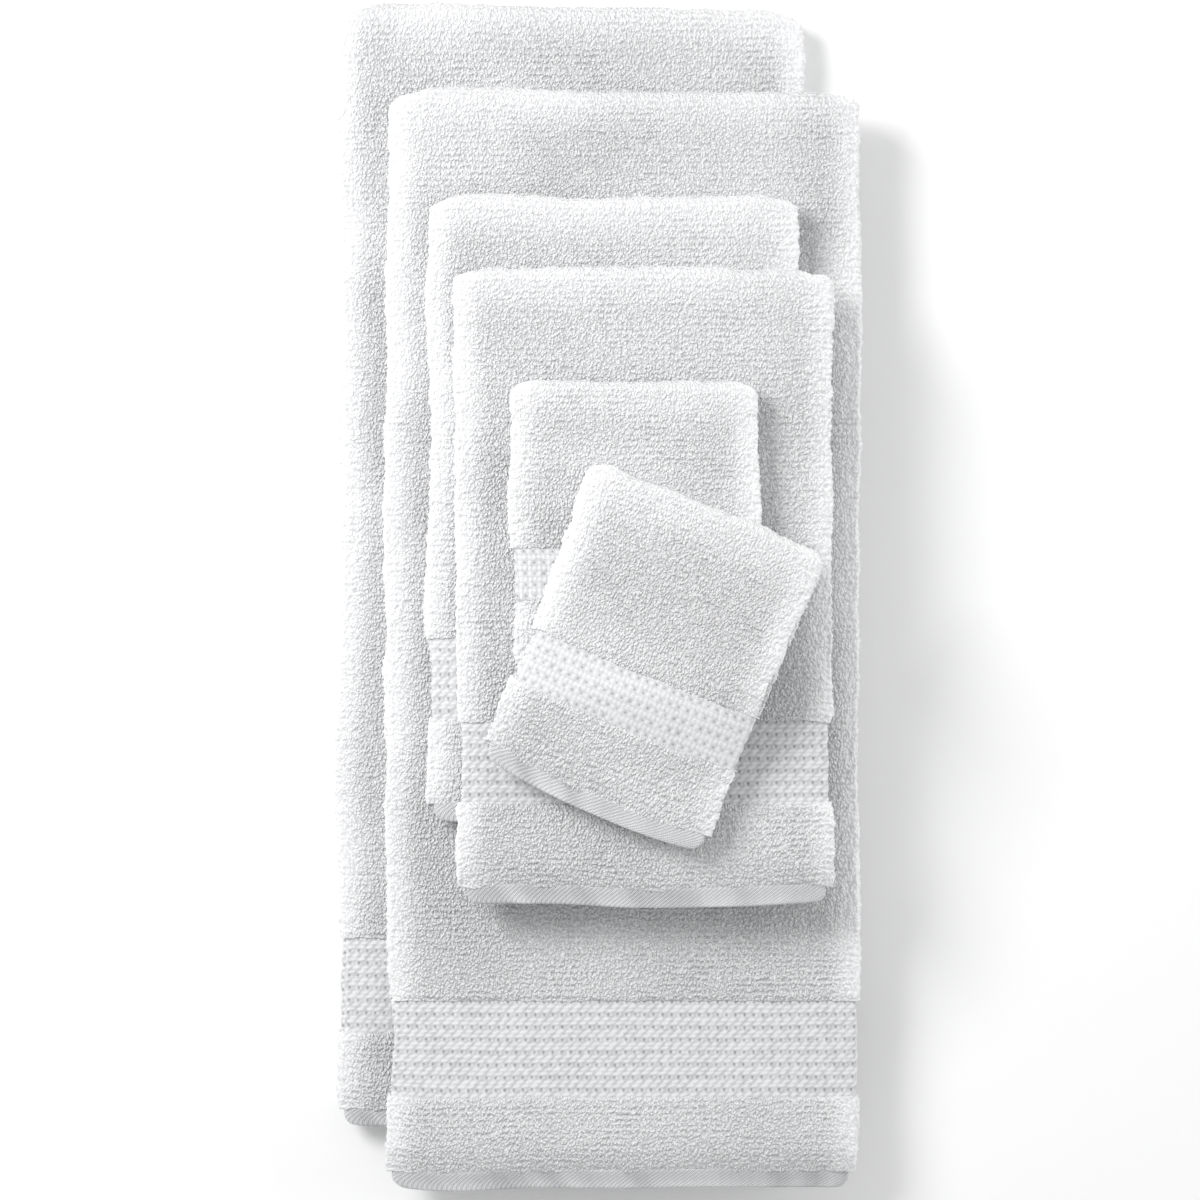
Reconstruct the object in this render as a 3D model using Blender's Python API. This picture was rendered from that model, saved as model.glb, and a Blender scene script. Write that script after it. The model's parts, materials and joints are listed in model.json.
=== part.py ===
"""A bath towel set: two bath towels, two hand towels and two washcloths, folded and stacked.

Each towel is one length of terry cloth. Its sides are folded in behind, and it is then folded
once across, so that it lies as two leaves joined by a round fold at the far end. Both ends of
the cloth lie at the near end, and each has the same woven zones: pile, a flat dobby band, a
strip of end terry and a turned hem. The upper leaf is the front of the cloth.

Metres, +Z up, +X right, +Y towards the far end. The origin is under the middle of the stack.
"""

import math
from dataclasses import dataclass, field

import bmesh
import bpy
from mathutils import Matrix, Vector

# Driving dimensions.
GAP = 0.0003  # clearance between pieces that touch
BAND_DROP = 0.0022  # how far the flat woven band lies below the pile
BAND_INSET = 0.004  # how far the band's folded sides draw in from the pile's
HEM_SHARE = 0.62  # thickness of the hem, as a share of the pile's
HEM_INSET = 0.006  # how far the hem's ends draw in from the pile's
EASE = 0.0015  # rounding where a zone ends
SIDE_STEPS = 6  # flats around each folded side
FOLD_STEPS = 8  # flats around the fold at the far end
DRAPED_ROW = 0.010  # spacing of the rows of points on a leaf that sags
TURNED_COLUMNS = 6  # strips across a leaf whose sag also changes across it


@dataclass(frozen=True)
class Cloth:
    """The folded size of one kind of towel, and the zones at each end of it."""

    width: float
    leaf: float  # thickness of one leaf
    band: float
    end_terry: float
    hem: float

    @property
    def thickness(self):
        """The thickness of both leaves."""
        return 2 * self.leaf + GAP


BATH = Cloth(width=0.289, leaf=0.0120, band=0.0600, end_terry=0.0430, hem=0.0120)
HAND = Cloth(width=0.226, leaf=0.0100, band=0.0510, end_terry=0.0470, hem=0.0120)
WASH = Cloth(width=0.148, leaf=0.0086, band=0.0320, end_terry=0.0370, hem=0.0110)


@dataclass(frozen=True)
class Towel:
    """One towel of the stack: its kind, its folded length, and where it lies."""

    name: str
    cloth: Cloth
    length: float
    centre: tuple
    turn: float = 0.0  # degrees about Z, seen from above
    sag: float = 0.0  # how far its near end hangs below the towel under it
    reach: float = 0.0  # how far past that towel's near edge it has come down by so much
    opens: bool = False  # the upper leaf is free to fold open
    under: "Towel" = field(default=None)

    @property
    def base(self):
        """The height of its underside where it lies on the towel below."""
        return self.under.base + self.under.cloth.thickness + GAP if self.under else 0.0

    @property
    def middle(self):
        """The height of the plane between its two leaves, above its own underside."""
        return self.cloth.leaf + GAP / 2

    @property
    def near(self):
        """Where its near end is, along its own length."""
        return -self.length / 2

    @property
    def frame(self):
        """Its place in the stack as a matrix."""
        place = Matrix.Translation((*self.centre, self.base))
        return place @ Matrix.Rotation(math.radians(self.turn), 4, "Z")

    def droop(self, point):
        """How far a point of it hangs down past the near edge of the towel below."""
        if not self.sag:
            return 0.0
        edge = self.under.centre[1] + self.under.near
        share = min(max((edge - (self.frame @ Vector(point)).y) / self.reach, 0.0), 1.0)
        return self.sag * share * share * (3 - 2 * share)


LOWER_BATH = Towel("lower_bath_towel", BATH, 0.684, (-0.0155, 0.0180))
UPPER_BATH = Towel(
    "upper_bath_towel", BATH, 0.670, (0.0155, -0.0250), sag=0.007, reach=0.050, under=LOWER_BATH
)
LOWER_HAND = Towel("lower_hand_towel", HAND, 0.377, (0.0090, 0.0537), under=UPPER_BATH)
UPPER_HAND = Towel(
    "upper_hand_towel", HAND, 0.382, (0.0278, 0.0069), sag=0.005, reach=0.055, under=LOWER_HAND
)
LOWER_WASH = Towel("lower_washcloth", WASH, 0.180, (0.0215, 0.0394), under=UPPER_HAND)
UPPER_WASH = Towel(
    "upper_washcloth",
    WASH,
    0.186,
    (0.0327, -0.0324),
    turn=-22.0,
    sag=0.0160,
    reach=0.065,
    opens=True,
    under=LOWER_WASH,
)
STACK = (LOWER_BATH, UPPER_BATH, LOWER_HAND, UPPER_HAND, LOWER_WASH, UPPER_WASH)

# Pieces of cotton cloth: name, linear colour, roughness.
TERRY = ("terry_pile", (0.90, 0.91, 0.93), 0.95)
DOBBY = ("dobby_weave", (0.88, 0.89, 0.91), 0.85)
HEMMED = ("turned_hem", (0.89, 0.90, 0.92), 0.88)


def clear_scene():
    """Remove everything that the scene starts with."""
    for obj in list(bpy.data.objects):
        bpy.data.objects.remove(obj)


def finish(look):
    """A plain Principled material, made once for each kind of weave."""
    name, colour, roughness = look
    material = bpy.data.materials.get(name)
    if material is None:
        material = bpy.data.materials.new(name)
        material.use_nodes = True
        shader = material.node_tree.nodes["Principled BSDF"]
        shader.inputs["Base Color"].default_value = (*colour, 1.0)
        shader.inputs["Roughness"].default_value = roughness
        shader.inputs["Metallic"].default_value = 0.0
        material.diffuse_color = (*colour, 1.0)
    return material


def outline(width, thickness, columns):
    """The section across a leaf: flat above and below, with half-round folded sides."""
    radius = thickness / 2
    half = width / 2 - radius
    across = [half * (2 * i / columns - 1) for i in range(columns + 1)]
    side = [math.pi * i / SIDE_STEPS for i in range(1, SIDE_STEPS)]
    points = [(x, radius) for x in across]
    points += [(half + radius * math.sin(a), radius * math.cos(a)) for a in side]
    points += [(x, -radius) for x in reversed(across)]
    points += [(-half - radius * math.sin(a), -radius * math.cos(a)) for a in side]
    return points


def loft(rings):
    """A closed mesh through rings of points, with a flat cap at each end."""
    mesh = bmesh.new()
    rows = [[mesh.verts.new(point) for point in ring] for ring in rings]
    count = len(rows[0])
    for near, far in zip(rows, rows[1:]):
        for i in range(count):
            j = (i + 1) % count
            mesh.faces.new((near[i], near[j], far[j], far[i]))
    mesh.faces.new(rows[0])
    mesh.faces.new(reversed(rows[-1]))
    bmesh.ops.recalc_face_normals(mesh, faces=mesh.faces)
    return mesh


def ring(section, seat, up, inset, columns):
    """The outline stood on the leaf's path: seat is its middle as (y, z), up its thickness."""
    width, thickness = section
    points = outline(width - 2 * inset, thickness - 2 * inset, columns)
    return [Vector((x, seat[0] + up[0] * h, seat[1] + up[1] * h)) for x, h in points]


def rows_between(start, end, spacing):
    """Places from start to end, no further apart than the spacing, with both ends eased."""
    count = max(1, math.ceil((end - start - 2 * EASE) / spacing))
    inner = [start + EASE + (end - start - 2 * EASE) * i / count for i in range(count + 1)]
    return [(start, EASE)] + [(y, 0.0) for y in inner] + [(end, EASE)]


class FoldedTowel:
    """Builds the pieces of one folded towel, each woven zone as its own object."""

    def __init__(self, towel):
        self.towel = towel
        self.cloth = towel.cloth
        self.columns = TURNED_COLUMNS if towel.turn else 1
        self.spacing = DRAPED_ROW if towel.sag else towel.length
        self.anchor = self.empty(towel.name, towel.frame)
        self.hinge = None
        if towel.opens:
            tip = Matrix.Translation((0, towel.length / 2, towel.middle))
            self.hinge = self.empty(towel.name + "_fold", towel.frame @ tip)

    def empty(self, name, frame):
        """An empty that carries pieces of the towel."""
        holder = bpy.data.objects.new(name + "_place", None)
        holder.empty_display_size = 0.02
        holder.matrix_world = frame
        bpy.context.scene.collection.objects.link(holder)
        return holder

    def add(self, zone, rings, look, holder):
        """Hang the rings with the cloth's sag and make them one named object."""
        to_holder = holder.matrix_world.inverted() @ self.towel.frame
        hung = [
            [to_holder @ (point - Vector((0, 0, self.towel.droop(point)))) for point in row]
            for row in rings
        ]
        shape = loft(hung)
        mesh = bpy.data.meshes.new(self.towel.name + "_" + zone)
        shape.to_mesh(mesh)
        shape.free()
        mesh.shade_smooth()
        mesh.set_sharp_from_angle(angle=math.radians(50))
        mesh.materials.append(finish(look))
        piece = bpy.data.objects.new(mesh.name, mesh)
        bpy.context.scene.collection.objects.link(piece)
        piece.parent = holder

    def leaf_row(self, y, side, section, inset):
        """A ring across the upper leaf (side 1) or the lower leaf (side -1)."""
        height = self.towel.middle + side * (GAP / 2 + section[1] / 2)
        return ring(section, (y, height), (0, side), inset, self.columns)

    def fold_row(self, angle):
        """A ring part of the way round the fold, from 0 on the upper leaf to pi on the lower."""
        leaf = self.cloth.leaf
        radius = (leaf + GAP) / 2
        turned = (math.sin(angle), math.cos(angle))
        centre = self.towel.length / 2 - leaf - GAP / 2
        seat = (centre + radius * turned[0], self.towel.middle + radius * turned[1])
        return ring((self.cloth.width, leaf), seat, turned, 0.0, self.columns)

    def pile_rows(self, side):
        """Rings along the pile of one leaf, from the band to where the fold begins."""
        start = self.towel.near + self.cloth.hem + self.cloth.end_terry + self.cloth.band + 3 * GAP
        end = self.towel.length / 2 - self.cloth.leaf - GAP / 2
        places = rows_between(start, end, self.spacing)[:-2]
        section = (self.cloth.width, self.cloth.leaf)
        return [self.leaf_row(y, side, section, inset) for y, inset in places]

    def pile(self):
        """The pile cloth: one piece round the fold, or two leaves where the towel opens."""
        steps = range(FOLD_STEPS + 1)
        round_fold = [self.fold_row(math.pi * i / FOLD_STEPS) for i in steps]
        upper = self.pile_rows(1)
        lower = self.pile_rows(-1)
        if not self.hinge:
            self.add("pile", upper + round_fold + lower[::-1], TERRY, self.anchor)
            return
        half = FOLD_STEPS // 2
        lift = Vector((0, 0, GAP / 2))
        front = upper + round_fold[: half + 1]
        back = lower + round_fold[: half - 1 : -1]
        front[-1] = [point + lift for point in front[-1]]
        back[-1] = [point - lift for point in back[-1]]
        self.add("front_pile", front, TERRY, self.hinge)
        self.add("back_pile", back, TERRY, self.anchor)

    def zone(self, name, side, start, length, section, look):
        """One woven zone of a leaf's end, start to start + length from the near end."""
        holder = self.hinge if self.hinge and side > 0 else self.anchor
        places = rows_between(start, start + length, self.spacing)
        rings = [self.leaf_row(y, side, section, inset) for y, inset in places]
        leaf = "front_" if side > 0 else "back_"
        self.add(leaf + name, rings, look, holder)

    def end_zones(self, side):
        """The hem, end terry and dobby band of one leaf, from its near end inwards."""
        cloth = self.cloth
        hem = (cloth.width - 2 * HEM_INSET, cloth.leaf * HEM_SHARE)
        band = (cloth.width - 2 * BAND_INSET, cloth.leaf - BAND_DROP)
        pile = (cloth.width, cloth.leaf)
        start = self.towel.near
        self.zone("hem", side, start, cloth.hem, hem, HEMMED)
        start += cloth.hem + GAP
        self.zone("end_terry", side, start, cloth.end_terry, pile, TERRY)
        start += cloth.end_terry + GAP
        self.zone("dobby_band", side, start, cloth.band, band, DOBBY)

    def build(self):
        """Make every piece of the towel."""
        self.pile()
        self.end_zones(1)
        self.end_zones(-1)


def main():
    """Build the stack from the bottom up."""
    clear_scene()
    for towel in STACK:
        FoldedTowel(towel).build()


main()
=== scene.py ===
"""A stack of white terry towels: two bath towels, two hand towels and two washcloths.

Each towel is one length of cloth. Its sides are folded in behind, and it is then folded once
across, so that it lies as a front leaf over a back leaf with a round fold at the far end. The
cloth is followed here along two ways: across the weave, from the edge of one folded-in side
round to the edge of the other, and along the cloth, from the near end of the front leaf round
the fold to the near end of the back leaf. Each woven zone, the looped pile, the flat dobby
band, the strip of end terry and the turned hem, is a closed piece of that cloth with its own
thickness and relief.

Metres, +Z up, +X right, +Y towards the fold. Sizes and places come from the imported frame.
"""

import json
import logging
import math
from dataclasses import dataclass, field, replace
from enum import Enum

import bpy
import numpy as np
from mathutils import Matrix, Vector

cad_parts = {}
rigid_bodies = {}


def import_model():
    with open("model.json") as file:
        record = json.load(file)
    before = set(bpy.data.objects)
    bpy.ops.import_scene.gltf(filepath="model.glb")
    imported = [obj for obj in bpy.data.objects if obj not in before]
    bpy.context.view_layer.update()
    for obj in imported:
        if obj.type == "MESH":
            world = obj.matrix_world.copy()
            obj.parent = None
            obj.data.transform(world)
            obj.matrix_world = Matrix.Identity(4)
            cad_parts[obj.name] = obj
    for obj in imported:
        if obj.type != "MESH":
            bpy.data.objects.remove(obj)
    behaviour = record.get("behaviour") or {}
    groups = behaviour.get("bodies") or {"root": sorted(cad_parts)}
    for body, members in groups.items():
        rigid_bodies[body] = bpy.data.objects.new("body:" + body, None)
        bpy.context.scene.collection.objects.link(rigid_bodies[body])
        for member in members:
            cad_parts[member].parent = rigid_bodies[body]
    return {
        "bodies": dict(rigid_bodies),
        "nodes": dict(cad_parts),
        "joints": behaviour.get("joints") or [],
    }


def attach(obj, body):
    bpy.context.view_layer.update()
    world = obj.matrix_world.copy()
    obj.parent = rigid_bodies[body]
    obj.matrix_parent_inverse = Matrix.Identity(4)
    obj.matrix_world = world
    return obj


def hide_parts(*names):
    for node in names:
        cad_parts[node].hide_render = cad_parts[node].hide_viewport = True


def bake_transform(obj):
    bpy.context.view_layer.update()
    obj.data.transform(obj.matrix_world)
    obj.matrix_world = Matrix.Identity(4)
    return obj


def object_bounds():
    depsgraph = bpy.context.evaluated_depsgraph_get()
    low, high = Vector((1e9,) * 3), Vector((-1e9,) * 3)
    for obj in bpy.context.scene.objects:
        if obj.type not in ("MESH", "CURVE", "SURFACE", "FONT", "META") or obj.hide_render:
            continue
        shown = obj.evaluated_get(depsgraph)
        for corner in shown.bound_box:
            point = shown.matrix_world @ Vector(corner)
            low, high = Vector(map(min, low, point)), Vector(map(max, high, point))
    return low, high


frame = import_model()
CAD_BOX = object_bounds()
LOG = logging.getLogger("towel_stack")

Grid = np.ndarray
Pair = tuple[float, float]
Triple = tuple[float, float, float]
Socket = bpy.types.NodeSocket
Piece = bpy.types.Object
Material = bpy.types.Material

CLEARANCE = 0.0003  # left between pieces that touch
FLAP_GAP = 0.0001  # left between two folded-in sides that overlap
EDGE_ROUND = 0.0021  # how far in from its long edges the cloth is rounded
SIDE_WAVES = ((0.105, 0.0024), (0.034, 0.0010), (0.006, 0.0006))  # size, depth
HEM_TOP = 0.0030  # how far below the leaf's face its hem starts
HEM_END = 0.62  # how high the hem's very end is, as a share of the leaf
HEM_CORNER = 0.0075  # radius of the corners at the near end
TERRY_DIP = 0.0014  # how far the end terry is drawn down beside the hem
END_SETTLE = 0.0018  # how far the ends of both leaves have sunk
BLOCK = 8  # rows and columns of points in one block of a mesh
SHOWS = 0.02  # a block is made in full if any of its points shows by so much
COVERED_LOFT = 0.6  # the loft of cloth that is covered
CLOTH_MAP = "cloth"  # the map that lays every piece out flat, in metres of cloth
LOFT_AND_SHADE = "loft"  # how high the loops or nubs stand at each point, from 0 to 1; lower points are painted darker, as painted shade between them
CRISP_AND_PIT_SHADE = "crisp_and_pit_shade"  # how clearly they stand apart there, from 0 to 1; it also sets how deep the painted shade in their pits is, so where it is low the cloth is painted lighter


class Leaf(Enum):
    """The two leaves of a folded towel."""

    FRONT = "front"
    BACK = "back"


class Zone(Enum):
    """The woven zones of a towel, from its fold to its end."""

    PILE = "pile"
    DOBBY_BAND = "dobby_band"
    END_TERRY = "end_terry"
    HEM = "hem"


class Run(Enum):
    """The stretches that the cloth makes across a leaf, in order."""

    LEFT_FLAP = 0
    LEFT_FOLD = 1
    PANEL = 2
    RIGHT_FOLD = 3
    RIGHT_FLAP = 4


def eased(share: Grid) -> Grid:
    """A share held between 0 and 1, starting and ending gently."""
    held = np.clip(share, 0.0, 1.0)
    return held * held * (3.0 - 2.0 * held)


def scatter(i: Grid, j: Grid, seed: int) -> Grid:
    """A fixed but irregular number from 0 to 1 for each whole-numbered place."""
    a = (np.asarray(i) + 40000).astype(np.uint64)
    b = (np.asarray(j) + 40000).astype(np.uint64)
    mixed = a * np.uint64(374761393) + b * np.uint64(668265263) + np.uint64(seed * 2654435)
    mixed = (mixed ^ (mixed >> np.uint64(13))) * np.uint64(1274126177)
    mixed = mixed ^ (mixed >> np.uint64(16))
    return (mixed & np.uint64(0xFFFFFF)).astype(float) / 0x1000000


def wander(x: Grid, y: Grid, size: float, seed: int) -> Grid:
    """Smooth irregular change over a surface.

    Args:
        x: Places across, in metres.
        y: Places along, in metres.
        size: About how far apart the changes are.
        seed: Which of the endless patterns to take.

    Returns:
        Numbers between -1 and 1, one for each place.
    """
    gx, gy = np.asarray(x) / size, np.asarray(y) / size
    i, j = np.floor(gx), np.floor(gy)
    fx, fy = eased(gx - i), eased(gy - j)
    low = scatter(i, j, seed) * (1 - fx) + scatter(i + 1, j, seed) * fx
    high = scatter(i, j + 1, seed) * (1 - fx) + scatter(i + 1, j + 1, seed) * fx
    return 2.0 * (low * (1 - fy) + high * fy) - 1.0


def tufts(u: Grid, v: Grid, pitch: Pair, seed: int) -> Grid:
    """Rounded tufts that stand a little irregularly in rows.

    Args:
        u: Places across the cloth, in metres.
        v: Places along the cloth, in metres.
        pitch: The spacing of the tufts across and along.
        seed: Which pattern to take.

    Returns:
        The height at each place, from 0 between tufts to 1 on top of a full one.
    """
    gu, gv = u / pitch[0], v / pitch[1]
    ci, cj = np.floor(gu), np.floor(gv)
    height = np.zeros(np.broadcast(gu, gv).shape)
    for di in (-1, 0, 1):
        for dj in (-1, 0, 1):
            i, j = ci + di, cj + dj
            du = gu - (i + 0.5 + 0.7 * (scatter(i, j, seed) - 0.5))
            dv = gv - (j + 0.5 + 0.7 * (scatter(i, j, seed + 1) - 0.5))
            full = 0.65 + 0.35 * scatter(i, j, seed + 2)
            height = np.maximum(height, full * np.exp(-(du * du + dv * dv) / 0.13))
    return height


def rotated(places: Grid, angle: float) -> Grid:
    """Places on a plan turned about its origin."""
    c, s = math.cos(angle), math.sin(angle)
    x, y = places[..., 0], places[..., 1]
    return np.stack([x * c - y * s, x * s + y * c], axis=-1)


# ---- relief of each weave


class Weaving:
    """A woven face, whose loft tells how high its yarn stands, from 0 to 1."""

    depth: float  # how much higher the surface is at a loft of 1 than at 0
    level = 0.7  # the loft that lies level with the cloth's face

    def loft(self, u: Grid, v: Grid) -> Grid:
        """How high the yarn stands at each place, from 0 to 1."""
        raise NotImplementedError

    def height(self, u: Grid, v: Grid) -> Grid:
        """How far the surface stands out from a level cloth, in metres."""
        return self.depth * (self.loft(u, v) - self.level)


@dataclass(frozen=True)
class PileRelief(Weaving):
    """Long loops of yarn that lean together in small clumps and faint rows."""

    seed: int
    clump: Pair = (0.0031, 0.0037)
    drift: Pair = (0.0085, 0.0110)
    row: float = 0.0037
    depth: float = 0.0011
    lump: float = 0.0008
    sway: float = 0.0012  # how far the clumps stray from their rows
    stray: Pair = (0.0009, 0.00022)  # size and height of loops on their own

    def loft(self, u: Grid, v: Grid) -> Grid:
        """How high the loops stand at each place, from 0 to 1."""
        u = u + self.sway * wander(u, v, 0.011, self.seed)
        v = v + self.sway * wander(u, v, 0.013, self.seed + 7)
        clumps = tufts(u, v, self.clump, self.seed + 11)
        drifts = tufts(u, v, self.drift, self.seed + 17)
        patch = eased(0.5 + 1.2 * wander(u, v, 0.045, self.seed + 23))
        rows = 0.5 + 0.5 * np.cos(2 * math.pi * v / self.row)
        return np.clip(0.62 * clumps + 0.2 * drifts + 0.18 * rows * patch, 0.0, 1.0)

    def height(self, u: Grid, v: Grid) -> Grid:
        """How far the surface stands out, with loose loops and slow lumps."""
        size, tall = self.stray
        loose = scatter(np.round(u / size), np.round(v / size), self.seed + 31) - 0.5
        lumps = wander(u, v, 0.024, self.seed + 37) + 0.5 * wander(u, v, 0.011, self.seed + 38)
        lumps = self.lump * (0.5 * lumps - 0.35)
        return super().height(u, v) + tall * loose + lumps


@dataclass(frozen=True)
class NubRelief(Weaving):
    """Small nubs of soft yarn in rows, with a pit at one corner of every cell of the weave."""

    seed: int
    cell: Pair
    nubs: tuple[int, int] = (1, 3)  # in each cell, across and along
    lean: float = 1.25  # how many cells the nubs move across for each cell along
    round: float = 0.62  # from 0, nubs that run together in ridges, to 1, round ones
    pit: float = 0.00085  # about the radius of a pit
    depth: float = 0.0008

    def loft(self, u: Grid, v: Grid) -> Grid:
        """How high the nubs stand at each place, from 0 to 1."""
        u = u + 0.00035 * wander(u, v, 0.018, self.seed)
        v = v + 0.00045 * wander(u, v, 0.025, self.seed + 3)
        along = v / self.cell[1]
        start = 0.5 if self.nubs[0] == 1 else 0.0
        column = u / self.cell[0]
        across = column - self.lean * (along % 1.0 - 0.5)
        ridge = 0.5 + 0.5 * np.cos(2 * math.pi * self.nubs[0] * across)
        turn = 2.4 * (1 - self.round) * (across % 1.0)
        knots = 0.5 + 0.5 * np.cos(2 * math.pi * self.nubs[1] * along + turn)
        uneven = 0.12 * wander(u, v, 0.0022, self.seed + 5)
        du = ((column - start + 0.5) % 1.0 - 0.5) * self.cell[0] / self.pit
        dv = ((along + 0.5) % 1.0 - 0.5) * self.cell[1] / self.pit
        pits = np.exp(-(du * du + 0.8 * dv * dv))
        dip = 0.10 * (1 - self.round) * np.exp(-dv * dv)
        chained = 0.72 * np.sqrt(ridge) + 0.28 * knots * ridge
        single = 1.1 * np.sqrt(ridge * knots)
        nubs = chained + (single - chained) * self.round
        base = 0.42 + 0.14 * self.round
        nubs = base + (0.55 - 0.14 * self.round) * nubs + uneven
        return np.clip(nubs - 0.9 * pits - dip, 0.0, 1.0)


@dataclass(frozen=True)
class HemRelief(Weaving):
    """A turned hem, drawn up a little along its stitches."""

    seed: int
    pucker: float = 0.011
    depth: float = 0.0011
    level: float = 0.5

    def loft(self, u: Grid, v: Grid) -> Grid:
        """How high the puckers stand at each place, from 0 to 1."""
        return 0.5 + 0.5 * wander(u + 0.5 * v, v * 0.4, self.pucker, self.seed)


# ---- finishes


class Loom:
    """Makes one material, node by node."""

    def __init__(self, name: str) -> None:
        """Start a material that has only its shader and its output."""
        self.material = bpy.data.materials.new(name)
        self.material.use_nodes = True
        self.tree = self.material.node_tree
        self.shader = self.tree.nodes["Principled BSDF"]

    def add(self, kind: str, inputs: dict | None = None, **settings: object) -> bpy.types.Node:
        """Add a node.

        Args:
            kind: The node's type.
            inputs: What goes into its sockets, each a value or another node's socket.
            **settings: The node's own settings.

        Returns:
            The node.
        """
        node = self.tree.nodes.new(kind)
        for name, value in settings.items():
            setattr(node, name, value)
        for socket, value in (inputs or {}).items():
            self.put(node.inputs[socket], value)
        return node

    def put(self, socket: Socket, value: object) -> None:
        """Give a socket a value, or join another node's socket to it."""
        if isinstance(value, Socket):
            self.tree.links.new(value, socket)
        else:
            socket.default_value = value

    def sum(self, how: str, *values: object) -> Socket:
        """The result of a Math node on one, two or three values."""
        return self.add("ShaderNodeMath", dict(enumerate(values)), operation=how).outputs[0]

    def weighed(self, *parts: tuple[object, float], more: object = 0.0) -> Socket:
        """Several values, each times its weight, added to one another and to one more."""
        for value, weight in reversed(parts):
            more = self.sum("MULTIPLY_ADD", value, weight, more)
        return more

    def wave(self, place: object, spacing: float) -> Socket:
        """Even waves, from -1 to 1, that are a given spacing apart."""
        return self.sum("COSINE", self.sum("MULTIPLY", place, 2 * math.pi / spacing))

    def parts(self, at: object) -> tuple[Socket, Socket]:
        """How far a place on the cloth is across and along it."""
        split = self.add("ShaderNodeSeparateXYZ", {"Vector": at})
        return split.outputs[0], split.outputs[1]

    def colour(self, share: object, low: Triple, high: Triple) -> None:
        """Colour the shader between two colours, by a share from 0 to 1."""
        mix = self.add("ShaderNodeMix", {"Factor": share}, data_type="RGBA", clamp_factor=True)
        mix.inputs[6].default_value = (*low, 1.0)
        mix.inputs[7].default_value = (*high, 1.0)
        self.put(self.shader.inputs["Base Color"], mix.outputs[2])

    def vector(self, how: str, *values: object) -> Socket:
        """The result of a Vector Math node on its values."""
        inputs = dict(enumerate(values))
        return self.add("ShaderNodeVectorMath", inputs, operation=how).outputs[0]

    def cloth(self) -> Socket:
        """The place on the cloth, in metres across and along it."""
        return self.add("ShaderNodeUVMap", uv_map=CLOTH_MAP).outputs[0]

    def noise(self, at: object, size: float, detail: float = 2.0) -> bpy.types.Node:
        """A noise texture whose changes are about a given size apart."""
        inputs = {"Vector": at, "Scale": 1.0 / size, "Detail": detail, "Roughness": 0.55}
        return self.add("ShaderNodeTexNoise", inputs)

    def cells(self, at: object, size: Pair, loose: float) -> Socket:
        """The distance from the nearest of many scattered points, in spacings."""
        stretched = self.vector("MULTIPLY", at, (1.0 / size[0], 1.0 / size[1], 1.0))
        inputs = {"Vector": stretched, "Scale": 1.0, "Randomness": loose}
        node = self.add("ShaderNodeTexVoronoi", inputs, voronoi_dimensions="2D")
        return node.outputs["Distance"]

    def spots(self, distance: object, size: float) -> Socket:
        """Round tops, 1 at each scattered point and 0 a given distance from it."""
        inputs = {"Value": distance, "From Min": size, "From Max": 0.0}
        return self.add("ShaderNodeMapRange", inputs, interpolation_type="SMOOTHSTEP").outputs[0]

    def turned(self, at: object, angle: float) -> Socket:
        """Places on the cloth turned about its corner."""
        return self.add("ShaderNodeVectorRotate", {"Vector": at, "Angle": angle}).outputs[0]

    def read(self, name: str) -> Socket:
        """One of the numbers that the piece has at each of its points."""
        return self.add("ShaderNodeAttribute", attribute_name=name).outputs["Fac"]

    def emboss(self, height: object, depth: float, strength: object = 1.0) -> None:
        """Give the shader a relief that is a given depth from 0 to 1."""
        inputs = {"Height": height, "Distance": depth, "Strength": strength}
        bump = self.add("ShaderNodeBump", inputs)
        self.put(self.shader.inputs["Normal"], bump.outputs[0])

    def soften(self, roughness: float, sheen: float, through: float) -> None:
        """Set the soft look of cotton on the shader.

        Args:
            roughness: How matt it is.
            sheen: How much its fuzz catches the light at a slant.
            through: How much light goes through the yarn.
        """
        values = {
            "Roughness": roughness,
            "Specular IOR Level": 0.15,
            "Sheen Weight": sheen,
            "Sheen Roughness": 0.45,
            "Subsurface Weight": through,
            "Subsurface Scale": 0.0022,
            "Subsurface Radius": (1.0, 0.95, 0.9),
        }
        self.set(values)

    def set(self, values: dict[str, object]) -> None:
        """Set constants on the shader."""
        for name, value in values.items():
            self.shader.inputs[name].default_value = value


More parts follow.
